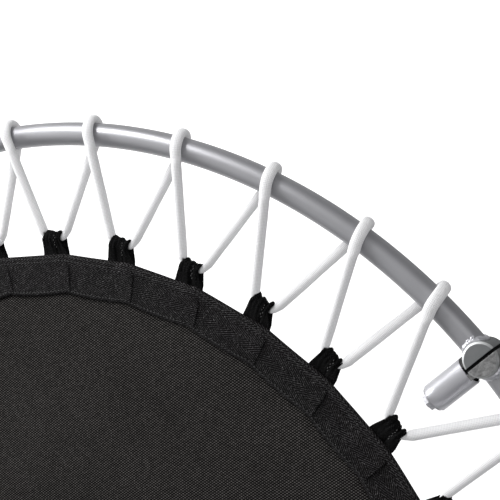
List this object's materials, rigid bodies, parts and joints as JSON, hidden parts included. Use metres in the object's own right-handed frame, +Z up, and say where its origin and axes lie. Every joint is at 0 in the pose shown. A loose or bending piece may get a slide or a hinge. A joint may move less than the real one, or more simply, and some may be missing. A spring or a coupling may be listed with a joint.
{
  "type": "mini trampoline",
  "caption": "Round indoor trampoline with a two-part folding tube ring, woven mat, laced elastic cord suspension and screw-clamped plug-in legs.",
  "frame": {"origin": "on the floor under the middle of the ring", "axes": "+Z up; X along the fold line of the ring; half A is on the +Y side and half B on the -Y side"},
  "size_m": [1.388, 1.389, 0.3232],
  "materials": {
    "silver_tube": "satin",
    "zinc_steel": "satin",
    "white_cord": "matte",
    "black_mesh": "matte",
    "black_webbing": "matte",
    "black_rubber": "matte",
    "black_plastic": "satin"
  },
  "bodies": {
    "half_a": {"frame_tube_a": "silver_tube", "hinge_posts_a": "zinc_steel", "weld_beads_a": "zinc_steel", "cord_a": "white_cord", "mat_a": "black_mesh", "edge_band_a": "black_webbing", "tabs_a": "black_webbing", "leg_sleeves_a": "silver_tube", "leg_gussets_a": "silver_tube", "sleeve_caps_a": "black_plastic", "leg_tubes_a": "silver_tube", "leg_feet_a": "black_rubber", "screw_bosses_a": "zinc_steel", "leg_screws_a": "zinc_steel", "screw_knobs_a": "black_plastic", "hinge_pads": "black_rubber", "hinge_barrels": "silver_tube", "hinge_bushes": "black_plastic"},
    "half_b": {"frame_tube_b": "silver_tube", "hinge_posts_b": "zinc_steel", "weld_beads_b": "zinc_steel", "cord_b": "white_cord", "mat_b": "black_mesh", "edge_band_b": "black_webbing", "tabs_b": "black_webbing", "leg_sleeves_b": "silver_tube", "leg_gussets_b": "silver_tube", "sleeve_caps_b": "black_plastic", "leg_tubes_b": "silver_tube", "leg_feet_b": "black_rubber", "screw_bosses_b": "zinc_steel", "leg_screws_b": "zinc_steel", "screw_knobs_b": "black_plastic", "hinge_pins": "zinc_steel", "pin_washers": "zinc_steel", "pin_nuts": "zinc_steel"}
  },
  "joints": [
    {"name": "frame_fold", "type": "hinge", "parent": "half_a", "child": "half_b", "pos_m": [0, 0, 0.276], "axis": [1, 0, 0], "range_deg": [0, 175]}
  ]
}
